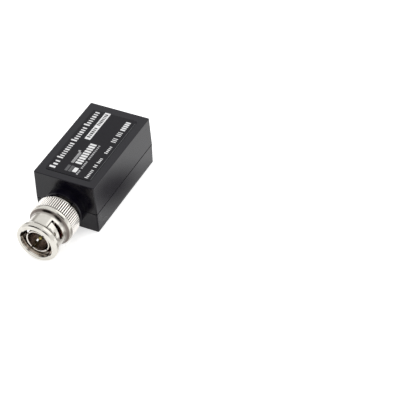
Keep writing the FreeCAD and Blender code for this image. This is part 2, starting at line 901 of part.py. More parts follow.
def lead(x, y, side, body_half):
    """Bent lead from a chip's flank down to the board, pointing away along Y."""
    low = board_top
    high = board_top + chip_standoff + chip_height / 2
    inside = side * (body_half - lead_root)
    knee = side * (body_half + lead_reach - lead_foot)
    toe = side * (body_half + lead_reach)
    step = side * lead_thickness
    points = [
        (y + inside, high),
        (y + knee, high),
        (y + knee, low + lead_thickness),
        (y + toe, low + lead_thickness),
        (y + toe, low),
        (y + knee - step, low),
        (y + knee - step, high - lead_thickness),
        (y + inside, high - lead_thickness),
    ]
    return side_profile(points, x, lead_width)


def chip(centre, length, width, lead_count):
    """Moulded chip with bent leads along both long sides."""
    x, y = centre
    z = (board_top + chip_standoff, board_top + chip_standoff + chip_height)
    body = centred_box(x, y, length, width, z)
    pins = []
    for i in range(lead_count):
        at = x + lead_pitch * (i - (lead_count - 1) / 2)
        pins += [lead(at, y, side, width / 2) for side in (-1, 1)]
    return joined(body, *pins)


def power_inductor():
    x, y = inductor_centre
    low, high = board_top, board_top + inductor_height
    foot = centred_box(x, y, inductor_size, inductor_size, (low, low + inductor_flange))
    cap = upright(x, y, inductor_size / 2, (high - inductor_flange, high))
    drum = upright(x, y, inductor_drum_radius, (low, high))
    return joined(drum, foot, cap)


def surge_diode(centre):
    """Moulded diode on the board's underside, with its two folded tabs."""
    x, y = centre
    top = board_bottom
    body = centred_box(x, y, diode_width, diode_length, (top - diode_height, top - diode_standoff))
    tab_z = (top - diode_tab_thickness, top)
    tab = centred_box(x, y, diode_tab_width, diode_length + 2 * diode_tab_reach, tab_z)
    return joined(body, tab)


def chips(centres, size):
    """Group of small soldered blocks of one size."""
    length, width, height = size
    z = (board_top, board_top + height)
    return Part.Compound([centred_box(x, y, length, width, z) for x, y in centres])


# Push-in terminal


def terminal_block():
    """Block with a wire port, a spring chamber open to the front and a button slot for each pole."""
    half = block_width / 2
    top = board_top + block_height
    block = box((-half, half), (block_front_y, block_rear_y), (board_top, top))
    for x in pole_x:
        slot_x = (x - chamber_width / 2, x + chamber_width / 2)
        slot_z = (board_top + slot_floor, board_top + slot_floor + slot_height)
        chamber = box(slot_x, (block_front_y - over, chamber_rear_y), (board_top + block_floor, slot_z[1]))
        through_y = (block_front_y, block_rear_y + over)
        slot = box(slot_x, through_y, slot_z)
        port_z = board_top + port_height
        port_x = (x - port_size / 2, x + port_size / 2)
        port = box(port_x, through_y, (port_z - port_size / 2, port_z + port_size / 2))
        mouth = funnel(x, port_z)
        hole = contact_pin_width + 2 * contact_pin_gap
        depth = contact_thickness + 2 * contact_pin_gap
        drop = centred_box(x, contact_pin_y, hole, depth, (board_top, board_top + block_floor))
        block = block.cut([chamber, slot, port, mouth, drop])
    return block


def funnel(x, z):
    """Tapered mouth of a wire port."""
    wires = []
    narrow = (block_rear_y - port_funnel_depth, port_size / 2)
    wide = (block_rear_y, port_size / 2 + port_funnel)
    for y, half in (narrow, wide):
        corners = [Vector(x + a * half, y, z + b * half) for a, b in ((-1, -1), (1, -1), (1, 1), (-1, 1))]
        wires.append(Part.makePolygon(corners + corners[:1]))
    return lofted(wires)


def release_button(x):
    """Button in its slot, with a nose for the spring, a lug that keeps it in and a grooved face."""
    low = board_top + slot_floor + button_gap
    high = board_top + slot_floor + slot_height - button_gap
    half = chamber_width / 2 - button_gap
    nose_y = chamber_rear_y - button_nose
    bar = box((x - half, x + half), (nose_y, rear_y), (low, high))
    lug_y = (chamber_rear_y - button_gap - button_lug_depth, chamber_rear_y - button_gap)
    lug = box((x - half, x + half), lug_y, (low - button_lug_drop, low + button_lug_root))
    middle = (low + high) / 2
    groove = box(
        (x - half, x + half),
        (rear_y - button_groove_depth, rear_y),
        (middle - button_groove_width / 2, middle + button_groove_width / 2),
    )
    return joined(bar, lug).cut(groove)


def clamp_spring(x):
    """Leaf that stands on the contact, bends over and leans back to grip the wire."""
    foot = board_top + block_floor + contact_thickness + press_gap
    centre_y = block_front_y + clamp_front_gap + clamp_thickness / 2 + clamp_bend_radius
    centre_z = board_top + clamp_bend_height
    lean = math.radians(clamp_lean)
    tip = board_top + clamp_tip_height

    def on_bend(radius, angle):
        return (centre_y + radius * math.cos(angle), centre_z + radius * math.sin(angle))

    def down_to_tip(radius):
        y, z = on_bend(radius, lean)
        return (y + (z - tip) * math.tan(lean), tip)

    middle = math.radians(clamp_bend_middle)
    outer = clamp_bend_radius + clamp_thickness / 2
    inner = clamp_bend_radius - clamp_thickness / 2
    points = [
        (centre_y - outer, foot),
        (centre_y - outer, centre_z),
        (on_bend(outer, middle), on_bend(outer, lean)),
        down_to_tip(outer),
        down_to_tip(inner),
        on_bend(inner, lean),
        (on_bend(inner, middle), (centre_y - inner, centre_z)),
        (centre_y - inner, foot),
    ]
    return side_profile(points, x, clamp_width)


def clamp_contact(x):
    """Contact bar on the chamber's floor with a pin that goes down through the board."""
    half = clamp_width / 2
    low = board_top + block_floor
    bar_y = (block_front_y + clamp_front_gap / 2, chamber_rear_y - contact_pin_gap)
    bar = box((x - half, x + half), bar_y, (low, low + contact_thickness))
    pin_z = (board_bottom - contact_pin_drop, low + contact_thickness / 2)
    pin = centred_box(x, contact_pin_y, contact_pin_width, contact_thickness, pin_z)
    return joined(bar, pin)


def pieces():
    """Every piece of the balun by its name."""
    made = {
        "upper_housing": upper_housing(),
        "lower_housing": lower_housing(),
        "housing_screws": housing_screws(),
        "label": label(),
        "mounting_barrel": mounting_barrel(),
        "plug_core": plug_core(),
        "contact_tube": contact_tube(),
        "insulator": insulator(),
        "centre_pin": centre_pin(),
        "gasket": gasket(),
        "wave_washer": wave_washer(),
        "thrust_washer": thrust_washer(),
        "coupling_nut": coupling_nut(),
        "circuit_board": circuit_board(),
        "choke_core": choke_core(),
        "amplifier_chip": chip(
            amplifier_centre, amplifier_length, amplifier_width, amplifier_lead_count
        ),
        "regulator_chip": chip(
            regulator_centre, regulator_length, regulator_width, regulator_lead_count
        ),
        "power_inductor": power_inductor(),
        "chip_resistors": chips(resistor_centres, resistor_size),
        "chip_capacitors": chips(capacitor_centres, capacitor_size),
        "terminal_block": terminal_block(),
    }
    for i, winding in enumerate(choke_windings(), 1):
        made[f"choke_winding_{i}"] = winding
    for i, centre in enumerate(can_centres, 1):
        made[f"filter_capacitor_{i}"] = filter_capacitor(centre)
    for i, centre in enumerate(diode_centres, 1):
        made[f"surge_diode_{i}"] = surge_diode(centre)
    for i, x in enumerate(pole_x, 1):
        made[f"release_button_{i}"] = release_button(x)
        made[f"clamp_spring_{i}"] = clamp_spring(x)
        made[f"clamp_contact_{i}"] = clamp_contact(x)
    return made


def main():
    os.makedirs("parts", exist_ok=True)
    for name, shape in pieces().items():
        if not shape.isValid() or shape.Volume <= 0:
            raise ValueError(f"{name} isn't a sound solid")
        shape.exportStep(f"parts/{name}.step")
        print(f"{name}: {len(shape.Solids)} solid, {shape.Volume:.2f} mm3")


main()
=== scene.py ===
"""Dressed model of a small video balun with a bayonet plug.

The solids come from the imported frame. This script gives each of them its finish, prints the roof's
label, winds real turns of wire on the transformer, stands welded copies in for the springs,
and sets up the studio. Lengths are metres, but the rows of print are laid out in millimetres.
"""

from __future__ import annotations

import logging
import math
from dataclasses import dataclass
from enum import Enum
from typing import Protocol

import bmesh
import bpy
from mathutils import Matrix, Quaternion, Vector

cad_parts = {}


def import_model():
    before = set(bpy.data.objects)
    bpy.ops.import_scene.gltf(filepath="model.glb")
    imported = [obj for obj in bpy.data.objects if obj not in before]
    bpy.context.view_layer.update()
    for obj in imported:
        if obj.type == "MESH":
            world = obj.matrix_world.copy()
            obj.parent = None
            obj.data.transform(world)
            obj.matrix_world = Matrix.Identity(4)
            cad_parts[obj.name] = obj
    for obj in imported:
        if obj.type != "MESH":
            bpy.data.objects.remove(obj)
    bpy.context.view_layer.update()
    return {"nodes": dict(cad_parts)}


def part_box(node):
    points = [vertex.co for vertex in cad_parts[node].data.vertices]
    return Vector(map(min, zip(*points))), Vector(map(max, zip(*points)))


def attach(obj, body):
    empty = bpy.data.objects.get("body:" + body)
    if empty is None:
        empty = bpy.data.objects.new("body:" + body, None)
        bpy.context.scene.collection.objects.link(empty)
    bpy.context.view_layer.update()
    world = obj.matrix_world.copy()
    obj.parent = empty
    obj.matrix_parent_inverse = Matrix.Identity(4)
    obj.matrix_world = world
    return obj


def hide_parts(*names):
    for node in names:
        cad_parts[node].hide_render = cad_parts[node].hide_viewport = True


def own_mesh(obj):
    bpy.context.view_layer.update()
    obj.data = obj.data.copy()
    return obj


LOG = logging.getLogger("balun")
MM = 0.001
AXIS_HEIGHT = 7.6 * MM
WELD_DISTANCE = 0.001 * MM
NOISE_MIDDLE = 0.5
NOISE_RANGE = (0.3, 0.7)
BEVEL_SAMPLES = 6
WHITE = (1.0, 1.0, 1.0, 1.0)

# The Mix and Random Value nodes have hidden sockets of the same names, so these go by number
MIX_FIRST, MIX_SECOND, MIX_RESULT = 6, 7, 2
RANDOM_LOW, RANDOM_HIGH, RANDOM_RESULT = 2, 3, 1

Colour = tuple[float, float, float]
Place = tuple[float, float, float]
Span = tuple[float, float]
Socket = bpy.types.NodeSocket
Inputs = dict[str | int, object]


# Node trees


class Course(Enum):
    """How a number runs between the ends of its range."""

    STRAIGHT = "LINEAR"
    SMOOTH = "SMOOTHSTEP"


class Detail(Enum):
    """How many finer layers a random pattern has."""

    PLAIN = 1.0
    SOFT = 2.0
    RICH = 3.0


class Sheet:
    """A node tree under construction."""

    def __init__(self, tree: bpy.types.NodeTree) -> None:
        """Keeps the tree.

        Args:
            tree: The node tree to fill.
        """
        self.tree = tree

    def add(self, kind: str, inputs: Inputs | None = None, **settings: object) -> bpy.types.Node:
        """Adds a node.

        Args:
            kind: The node's type.
            inputs: What goes into its sockets: another node's output, or a plain value.
            settings: The node's own options.

        Returns:
            The new node.
        """
        node = self.tree.nodes.new(kind)
        for name, value in settings.items():
            setattr(node, name, value)
        for socket, value in (inputs or {}).items():
            if isinstance(value, Socket):
                self.tree.links.new(value, node.inputs[socket])
            else:
                node.inputs[socket].default_value = value
        return node

    def math(self, operation: str, first: object, second: object = 0.0) -> Socket:
        """Adds a sum of two numbers.

        Args:
            operation: The kind of sum.
            first: Its first number or output.
            second: Its second number or output.

        Returns:
            The result's socket.
        """
        return self.add("ShaderNodeMath", {0: first, 1: second}, operation=operation).outputs[0]

    def ramp(
        self, value: Socket, given: Span, made: Span = (0.0, 1.0), course: Course = Course.STRAIGHT
    ) -> Socket:
        """Carries a number from one range over to another, and holds it inside that.

        Args:
            value: The number.
            given: The two ends that it comes in with.
            made: The two ends that it goes out with.
            course: How it runs between them.

        Returns:
            The result's socket.
        """
        inputs = {
            "Value": value,
            "From Min": given[0],
            "From Max": given[1],
            "To Min": made[0],
            "To Max": made[1],
        }
        return self.add("ShaderNodeMapRange", inputs, interpolation_type=course.value).outputs[0]

    def join(self, x: object = 0.0, y: object = 0.0, z: object = 0.0) -> Socket:
        """Makes a vector of three numbers or outputs."""
        return self.add("ShaderNodeCombineXYZ", {0: x, 1: y, 2: z}).outputs[0]

    def split(self, vector: Socket) -> tuple[Socket, ...]:
        """Gives a vector's three numbers."""
        return tuple(self.add("ShaderNodeSeparateXYZ", {0: vector}).outputs)

    def length(self, vector: Socket) -> Socket:
        """Gives a vector's length."""
        return self.add("ShaderNodeVectorMath", {0: vector}, operation="LENGTH").outputs["Value"]


class FinishSheet(Sheet):
    """The node tree of one material."""

    def __init__(self, name: str) -> None:
        """Makes an empty material.

        Args:
            name: The material's name.
        """
        self.material = bpy.data.materials.new(name)
        self.material.use_nodes = True
        super().__init__(self.material.node_tree)
        self.tree.nodes.clear()
        self.output = self.add("ShaderNodeOutputMaterial")

    def point(self) -> Socket:
        """Gives the coordinates in the part's own frame."""
        return self.add("ShaderNodeTexCoord").outputs["Object"]

    def scaled_point(self, scale: Place) -> Socket:
        """Gives those coordinates, each times its number in the scale."""
        return self.add("ShaderNodeMapping", {"Vector": self.point(), "Scale": scale}).outputs[0]

    def turned_point(self) -> Socket:
        """Gives the place along the plug's axis and the distance from it, as a lathe's marks run."""
        axis = {"Vector": self.point(), "Location": (0.0, 0.0, -AXIS_HEIGHT)}
        x, y, z = self.split(self.add("ShaderNodeMapping", axis).outputs[0])
        return self.join(y, self.length(self.join(x=x, z=z)))

    def noise(self, size: float, point: Socket, detail: Detail = Detail.SOFT) -> Socket:
        """Adds a soft random pattern.

        Args:
            size: How large its blotches are.
            point: The coordinates it is read at.
            detail: How many finer layers it has.

        Returns:
            A number around one half.
        """
        inputs = {"Vector": point, "Scale": 1.0 / size, "Detail": detail.value}
        return self.add("ShaderNodeTexNoise", inputs).outputs[0]

    def spread(self, pattern: Socket, limits: Span = (0.0, 1.0)) -> Socket:
        """Spreads a pattern's usual range over two limits.

        Args:
            pattern: The pattern.
            limits: The numbers for its low end and its high end.

        Returns:
            The spread pattern.
        """
        return self.ramp(pattern, NOISE_RANGE, limits)

    def blend(self, share: Socket, first: Colour | Socket, second: Colour | Socket) -> Socket:
        """Blends two colours.

        Args:
            share: The share of the second, from 0 to 1.
            first: The first colour.
            second: The second colour.

        Returns:
            The colour between them.
        """
        ends = [(*end, 1.0) if isinstance(end, tuple) else end for end in (first, second)]
        inputs = {0: share, MIX_FIRST: ends[0], MIX_SECOND: ends[1]}
        return self.add("ShaderNodeMix", inputs, data_type="RGBA").outputs[MIX_RESULT]

    def relief(self, height: Socket, depth: float, edge: float) -> Socket:
        """Adds fine relief, and rounds the edges a little.

        Args:
            height: The pattern that gives the relief.
            depth: How deep it is.
            edge: The radius that the edges show.

        Returns:
            The surface's direction.
        """
        soft = self.add("ShaderNodeBevel", {"Radius": edge}, samples=BEVEL_SAMPLES).outputs[0]
        inputs = {"Height": height, "Distance": depth, "Normal": soft}
        return self.add("ShaderNodeBump", inputs).outputs[0]

    def end(self, shader: Socket) -> bpy.types.Material:
        """Ends the material with a shader, and gives it."""
        self.tree.links.new(shader, self.output.inputs[0])
        return self.material

    def finish(self, inputs: Inputs) -> bpy.types.Material:
        """Ends the material with the usual shader.

        Args:
            inputs: What goes into the shader's sockets.

        Returns:
            The finished material.
        """
        return self.end(self.add("ShaderNodeBsdfPrincipled", inputs).outputs[0])


# Finishes


class Finish(Protocol):
    """What every finish offers."""

    @property
    def name(self) -> str:
        """The material's name."""

    def make(self) -> bpy.types.Material:
        """Builds the material."""


@dataclass(frozen=True)
class Moulded:
    """Moulded plastic with the fine grain of its mould."""

    name: str
    colour: Colour
    worn_colour: Colour
    roughness: float
    grain: float = 0.16 * MM
    depth: float = 0.004 * MM
    edge: float = 0.14 * MM
    specular: float = 0.5
    cloud_size: float = 4.0 * MM
    roughness_play: float = 0.03

    def make(self) -> bpy.types.Material:
        """Builds the material."""
        sheet = FinishSheet(self.name)
        point = sheet.point()
        cloud = sheet.noise(self.cloud_size, point, Detail.RICH)
        grain = sheet.noise(self.grain, point)
        limits = (self.roughness - self.roughness_play, self.roughness + self.roughness_play)
        return sheet.finish(
            {
                "Base Color": sheet.blend(sheet.spread(cloud), self.colour, self.worn_colour),
                "Roughness": sheet.spread(cloud, limits),
                "Specular IOR Level": self.specular,
                "Normal": sheet.relief(grain, self.depth, self.edge),
            }
        )


class Marks(Enum):
    """How a metal's marks run."""

    TURNED = "round the plug's axis"
    DRAWN = "up the piece"
    PLAIN = "in no direction"


@dataclass(frozen=True)
class Shade:
    """A colour painted over the metal round the plug's axis: darker for painted shade, lighter for a
    painted highlight.

    It is full up to the first radius and gone at the second, and it lies over a span in Y. From the
    span's front end it may grow over a fade.
    """

    radii: Span
    colour: Colour
    span: Span = (-1.0, 1.0)
    fade: float = 0.001 * MM


@dataclass(frozen=True)
class Metal:
    """Plated or bare metal with the marks of how it was made."""

    name: str
    colour: Colour
    tarnish: Colour
    roughness: Span
    marks: Marks = Marks.TURNED
    mark_size: float = 0.09 * MM
    mark_stretch: Place = (1.0, 1.0, 0.08)
    depth: float = 0.0012 * MM
    edge: float = 0.12 * MM
    cloud_size: float = 2.2 * MM
    shades: tuple[Shade, ...] = ()

    def mark_point(self, sheet: FinishSheet) -> Socket:
        """Gives the coordinates in which the marks are round blotches.

        Args:
            sheet: The material's sheet.

        Returns:
            The coordinates.
        """
        if self.marks is Marks.TURNED:
            return sheet.turned_point()
        if self.marks is Marks.DRAWN:
            return sheet.scaled_point(self.mark_stretch)
        return sheet.point()

    def shaded(self, sheet: FinishSheet, colour: Socket, shade: Shade) -> Socket:
        """Changes the metal's colour where a shade lies.

        Args:
            sheet: The material's sheet.
            colour: The metal's colour.
            shade: The shade.

        Returns:
            The colour with the shade over it.
        """
        front, rear = shade.span
        along, reach, _ = sheet.split(sheet.turned_point())
        near = sheet.ramp(reach, shade.radii, (1.0, 0.0))
        behind_front = sheet.ramp(along, (front, front + shade.fade))
        ahead_of_rear = sheet.math("LESS_THAN", along, rear)
        share = sheet.math("MULTIPLY", near, sheet.math("MULTIPLY", behind_front, ahead_of_rear))
        return sheet.blend(share, colour, shade.colour)

    def make(self) -> bpy.types.Material:
        """Builds the material."""
        sheet = FinishSheet(self.name)
        cloud = sheet.noise(self.cloud_size, sheet.point(), Detail.RICH)
        marks = sheet.noise(self.mark_size, self.mark_point(sheet), Detail.PLAIN)
        haze = sheet.math("MULTIPLY", sheet.math("MULTIPLY", cloud, marks), 1.0 / NOISE_MIDDLE)
        colour = sheet.blend(sheet.spread(cloud), self.colour, self.tarnish)
        for shade in self.shades:
            colour = self.shaded(sheet, colour, shade)
        return sheet.finish(
            {
                "Base Color": colour,
                "Metallic": 1.0,
                "Roughness": sheet.spread(haze, self.roughness),
                "Normal": sheet.relief(marks, self.depth, self.edge),
            }
        )


@dataclass(frozen=True)
class Speckled:
    """Sintered, fired or rubbery material with fine specks."""

    name: str
    colour: Colour
    speck: Colour
    roughness: float
    speck_size: float = 0.12 * MM
    depth: float = 0.006 * MM
    edge: float = 0.08 * MM
    cloud_size: float = 3.0 * MM
    roughness_play: float = 0.05

    def make(self) -> bpy.types.Material:
        """Builds the material."""
        sheet = FinishSheet(self.name)
        point = sheet.point()
        specks = sheet.noise(self.speck_size, point, Detail.RICH)
        cloud = sheet.noise(self.cloud_size, point)
        limits = (self.roughness - self.roughness_play, self.roughness + self.roughness_play)
        return sheet.finish(
            {
                "Base Color": sheet.blend(sheet.spread(specks), self.colour, self.speck),
                "Roughness": sheet.spread(cloud, limits),
                "Normal": sheet.relief(specks, self.depth, self.edge),
            }
        )


@dataclass(frozen=True)
class SolderMask:
    """Green mask over the board's glass weave and its copper tracks."""

    name: str = "solder_mask"
    mask: Colour = (0.012, 0.11, 0.04)
    over_copper: Colour = (0.03, 0.22, 0.07)
    track_pitch: float = 1.1 * MM
    track_play: float = 0.6
    track_gap: float = 0.42
    weave: float = 0.5 * MM
    roughness: Span = (0.24, 0.32)
    depth: float = 0.01 * MM
    edge: float = 0.08 * MM

    def make(self) -> bpy.types.Material:
        """Builds the material."""
        sheet = FinishSheet(self.name)
        point = sheet.point()
        inputs = {"Vector": point, "Scale": 1.0 / self.track_pitch, "Randomness": self.track_play}
        cells = sheet.add("ShaderNodeTexVoronoi", inputs, distance="CHEBYCHEV").outputs["Distance"]
        track = sheet.math("GREATER_THAN", cells, self.track_gap)
        inputs = {"Vector": point, "Scale": 1.0 / self.weave}
        weave = sheet.add("ShaderNodeTexWave", inputs).outputs["Fac"]
        return sheet.finish(
            {
                "Base Color": sheet.blend(track, self.mask, self.over_copper),
                "Roughness": sheet.spread(weave, self.roughness),
                "Normal": sheet.relief(sheet.math("ADD", track, weave), self.depth, self.edge),
            }
        )


@dataclass(frozen=True)
class Print:
    """Printing ink on the label, thinner in places."""

    name: str
    ink: Colour
    thin: Colour
    roughness: Span = (0.55, 0.65)
    specular: float = 0.3
    grain: float = 0.1 * MM
    depth: float = 0.002 * MM
    edge: float = 0.02 * MM
    cloud_size: float = 0.5 * MM

    def make(self) -> bpy.types.Material:
        """Builds the material."""
        sheet = FinishSheet(self.name)
        point = sheet.point()
        cloud = sheet.noise(self.cloud_size, point, Detail.RICH)
        return sheet.finish(
            {
                "Base Color": sheet.blend(sheet.spread(cloud), self.ink, self.thin),
                "Roughness": sheet.spread(cloud, self.roughness),
                "Specular IOR Level": self.specular,
                "Normal": sheet.relief(sheet.noise(self.grain, point), self.depth, self.edge),
            }
        )


CASE_PLASTIC = Moulded(
    "case_plastic",
    (0.0034, 0.0028, 0.007),
    (0.0047, 0.0042, 0.008),
    roughness=0.2,
    edge=0.08 * MM,
    specular=0.36,
)
LABEL_FILM = Moulded(
    "label_film",
    (0.0034, 0.003, 0.0055),
    (0.005, 0.0042, 0.007),
    roughness=0.42,
    depth=0.002 * MM,
    specular=0.22,
)
TERMINAL_PLASTIC = Moulded("terminal_plastic", (0.008, 0.008, 0.008), (0.012, 0.012, 0.012), 0.42)
BUTTON_PLASTIC = Moulded("button_orange", (0.8, 0.16, 0.02), (0.7, 0.13, 0.018), 0.36)
CHIP_EPOXY = Moulded("chip_epoxy", (0.012, 0.012, 0.013), (0.02, 0.02, 0.02), 0.55, grain=0.08 * MM)
INSULATOR_WHITE = Moulded(
    "insulator_white", (0.8, 0.79, 0.75), (0.74, 0.72, 0.67), 0.34, edge=0.08 * MM
)

# Where the nut's stretches lie along the plug, from the front end to the rear end of each
KNURL = (-27.65 * MM, -23.0 * MM)
DISH = (-30.2 * MM, -28.6 * MM)
BORE = (-36.7 * MM, -28.0 * MM)
# Painted highlight: a lighter colour than the nickel over the whole knurled band
KNURL_PAINTED_HIGHLIGHT = Shade((7.4 * MM, 7.5 * MM), (0.95, 0.92, 0.88), KNURL)
# Painted shade: a dark colour in the knurl's grooves and up their flanks
KNURL_GROOVE_SHADE = Shade((7.06 * MM, 7.22 * MM), (0.16, 0.14, 0.125), KNURL)
# Painted shade: a darker colour on the nut's inner walls and bore, for their shade and dark reflections
NUT_INSIDE_SHADE = Shade((5.86 * MM, 5.98 * MM), (0.4, 0.35, 0.3), BORE)
# Painted shade: a dark ring in the dished shoulder for its dark reflection, fading in from the front
DISH_SHADE = Shade((6.85 * MM, 7.05 * MM), (0.17, 0.145, 0.13), DISH, fade=1.0 * MM)
# Painted shade: a darker colour inside the contact tube
TUBE_INSIDE_SHADE = Shade((3.52 * MM, 3.6 * MM), (0.56, 0.49, 0.45))

NUT_NICKEL = Metal(
    "nut_nickel",
    (0.7, 0.68, 0.63),
    (0.64, 0.615, 0.56),
    roughness=(0.1, 0.24),
    edge=0.035 * MM,
    shades=(KNURL_PAINTED_HIGHLIGHT, KNURL_GROOVE_SHADE, NUT_INSIDE_SHADE, DISH_SHADE),
)
BODY_NICKEL = Metal("body_nickel", (0.7, 0.67, 0.62), (0.55, 0.52, 0.47), (0.2, 0.38))
TUBE_NICKEL = Metal(
    "tube_nickel",
    (0.8, 0.77, 0.72),
    (0.7, 0.66, 0.6),
    roughness=(0.14, 0.28),
    edge=0.05 * MM,
    shades=(TUBE_INSIDE_SHADE,),
)
PIN_GOLD = Metal("pin_gold", (0.44, 0.38, 0.15), (0.36, 0.31, 0.11), (0.24, 0.38), edge=0.04 * MM)
WASHER_BRASS = Metal("washer_brass", (0.75, 0.56, 0.28), (0.6, 0.42, 0.2), (0.22, 0.4))
SPRING_STEEL = Metal("spring_steel", (0.6, 0.6, 0.6), (0.5, 0.49, 0.47), (0.2, 0.34), Marks.DRAWN)
SCREW_STEEL = Metal("screw_steel", (0.4, 0.4, 0.41), (0.3, 0.29, 0.28), (0.25, 0.42), Marks.PLAIN)
CAN_ALUMINIUM = Metal(
    "can_aluminium", (0.78, 0.78, 0.79), (0.7, 0.7, 0.7), (0.24, 0.38), Marks.DRAWN
)
CONTACT_TIN = Metal("contact_tin", (0.72, 0.71, 0.68), (0.6, 0.59, 0.56), (0.26, 0.42), Marks.PLAIN)
WIRE_COPPER = Metal("wire_copper", (0.62, 0.22, 0.08), (0.5, 0.16, 0.05), (0.18, 0.3), Marks.PLAIN)
GASKET_RUBBER = Speckled("gasket_rubber", (0.2, 0.014, 0.01), (0.26, 0.022, 0.016), 0.5)
FERRITE = Speckled("ferrite", (0.028, 0.028, 0.03), (0.05, 0.05, 0.052), 0.6)
CERAMIC = Speckled("ceramic", (0.5, 0.36, 0.22), (0.6, 0.46, 0.3), 0.5)
SOLDER_MASK = SolderMask()
WHITE_INK = Print("ink_white", (0.92, 0.92, 0.92), (0.78, 0.78, 0.79))
GREY_INK = Print("ink_grey", (0.52, 0.52, 0.53), (0.38, 0.38, 0.39))
DIM_INK = Print("ink_dim", (0.13, 0.13, 0.135), (0.1, 0.1, 0.105))
BLACK_INK = Print("ink_black", (0.02, 0.02, 0.02), (0.05, 0.05, 0.05))


class Wardrobe:
    """Makes each finish once and gives it to the pieces that wear it."""

    def __init__(self, nodes: dict[str, bpy.types.Object]) -> None:
        """Starts with no finish made.

        Args:
            nodes: The frame's objects by name.
        """
        self.nodes = nodes
        self.made: dict[str, bpy.types.Material] = {}

    def material(self, finish: Finish) -> bpy.types.Material:
        """Gives a finish's material.

        Args:
            finish: The finish.

        Returns:
            Its material, made on the first call.
        """
        if finish.name not in self.made:
            self.made[finish.name] = finish.make()
        return self.made[finish.name]

    def dress(self, finish: Finish, *names: str) -> None:
        """Puts a finish on nodes of the frame.

        Args:
            finish: The finish.
            names: The nodes that wear it.
        """
        for name in names:
            slots = self.nodes[name].data.materials
            slots.clear()
            slots.append(self.material(finish))
            LOG.info("%s wears %s", name, finish.name)


# Geometry Nodes


class ShapeSheet(Sheet):
    """A Geometry Nodes tree with named inputs."""

    def __init__(self, name: str, inputs: dict[str, type]) -> None:
        """Makes a tree that takes no mesh and gives one.

        Args:
            name: The tree's name.
            inputs: Its inputs' names, and whether each is a whole number (int) or a measure (float).
        """
        super().__init__(bpy.data.node_groups.new(name, "GeometryNodeTree"))
        face = self.tree.interface
        face.new_socket(name="Geometry", in_out="OUTPUT", socket_type="NodeSocketGeometry")
        self.sockets = {}
        for label, kind in inputs.items():
            socket_type = "NodeSocketInt" if kind is int else "NodeSocketFloat"
            self.sockets[label] = face.new_socket(name=label, in_out="INPUT", socket_type=socket_type)
        self.given = self.add("NodeGroupInput").outputs

    def end(self, points: Socket, item: Socket, material: bpy.types.Material, **turned: Socket) -> None:
        """Ends the tree with a real copy of an item at each point, all in one material.

        Args:
            points: The points.
            item: The item.
            material: The material to wear.
            turned: How each copy is turned or scaled, by the socket's name.
        """
        inputs = {"Points": points, "Instance": item, **turned}
        copies = self.add("GeometryNodeInstanceOnPoints", inputs).outputs[0]
        real = self.add("GeometryNodeRealizeInstances", {0: copies}).outputs[0]
        worn = self.add("GeometryNodeSetMaterial", {"Geometry": real, "Material": material})
        self.add("NodeGroupOutput", {0: worn.outputs[0]})

    def mesh(self, name: str, values: dict[str, float | int], place: Vector) -> bpy.types.Mesh:
        """Runs the tree.

        Args:
            name: A name for the mesh.
            values: The inputs' values by name.
            place: Where the tree's zero point goes.

        Returns:
            The plain mesh that it gives.
        """
        carrier = bpy.data.objects.new(name, bpy.data.meshes.new(name))
        bpy.context.scene.collection.objects.link(carrier)
        modifier = carrier.modifiers.new("shape", "NODES")
        modifier.node_group = self.tree
        for label, value in values.items():
            modifier[self.sockets[label].identifier] = value
        graph = bpy.context.evaluated_depsgraph_get()
        mesh = bpy.data.meshes.new_from_object(carrier.evaluated_get(graph))
        bpy.data.objects.remove(carrier)
        mesh.name = name
        for vertex in mesh.vertices:
            vertex.co += place
        return mesh


def add_piece(
    name: str, meshes: list[bpy.types.Mesh], material: bpy.types.Material, body: str
) -> bpy.types.Object:
    """Joins meshes to one piece of the part.

    Args:
        name: The piece's name.
        meshes: The meshes, each in its place.
        material: What the piece wears.
        body: The body that it moves with.

    Returns:
        The piece's object.
    """
    points, faces = [], []
    for mesh in meshes:
        first = len(points)
        points += [vertex.co.copy() for vertex in mesh.vertices]
        faces += [[first + corner for corner in face.vertices] for face in mesh.polygons]
    whole = bpy.data.meshes.new(name)
    whole.from_pydata(points, [], faces)
    whole.materials.append(material)
    piece = bpy.data.objects.new(name, whole)
    bpy.context.scene.collection.objects.link(piece)
    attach(piece, body)
    LOG.info("%s has %d faces", name, len(faces))
    return piece


def add_spring(wardrobe: Wardrobe, node: str, name: str) -> None:
    """Stands a springy piece in for a node, welded from the node's mesh, and hides the node.

    Args:
        wardrobe: The finishes.
        node: The node, whose shape the piece takes.
        name: The piece's name.
    """
    form = bmesh.new()
    form.from_mesh(wardrobe.nodes[node].data)
    bmesh.ops.remove_doubles(form, verts=form.verts, dist=WELD_DISTANCE)
    mesh = bpy.data.meshes.new(name)
    form.to_mesh(mesh)
    form.free()
    piece = add_piece(name, [mesh], wardrobe.material(SPRING_STEEL), "case")
    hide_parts(node)
    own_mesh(piece)


# Sub-assemblies


class Housing:
    """The two halves of the case, with their screws."""

    def build(self, wardrobe: Wardrobe) -> None:
        """Dresses the halves and the screws.

        Args:
            wardrobe: The finishes.
        """
        wardrobe.dress(CASE_PLASTIC, "upper_housing", "lower_housing")
        wardrobe.dress(SCREW_STEEL, "housing_screws")


@dataclass(frozen=True)
class Row:
    """One row of print, as words of plain blocks; its places and its height are millimetres.

    The base line is a place in X. Each word has its two ends in Y and its number of blocks. The
    capital is how much taller its first block is, and the fill is how much of its pitch a block takes
    at most. A second layer lies over the first.
    """

    base: float
    height: float
    words: tuple[tuple[float, float, int], ...]
    ink: Print = WHITE_INK
    capital: float = 1.0
    fill: float = 1.0
    layer: int = 1


